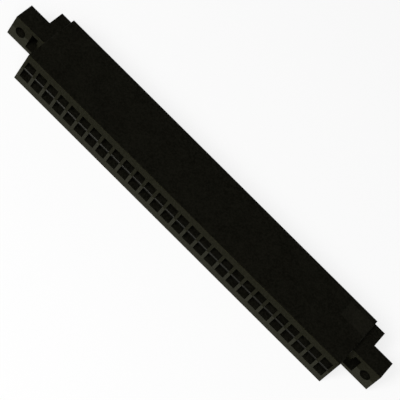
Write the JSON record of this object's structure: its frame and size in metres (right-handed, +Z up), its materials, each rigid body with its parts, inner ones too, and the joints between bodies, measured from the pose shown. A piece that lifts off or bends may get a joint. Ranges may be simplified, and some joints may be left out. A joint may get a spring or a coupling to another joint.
{
  "type": "card edge connector housing",
  "caption": "Moulded housing with two rows of through cells for crimp contacts, a slot for a printed circuit board's edge, and a mounting ear with a bolt hole at each end.",
  "frame": {"origin": "middle of the long side face that the housing lies on, half way along its length and its depth", "axes": "+X along the two rows of cells, +Y from the wire-entry face to the card slot, +Z up through the thickness"},
  "size_m": [0.1324, 0.0194, 0.011],
  "materials": {
    "housing_plastic": "fine moulded matte black"
  },
  "bodies": {
    "root": {"housing": "housing_plastic"}
  },
  "joints": []
}
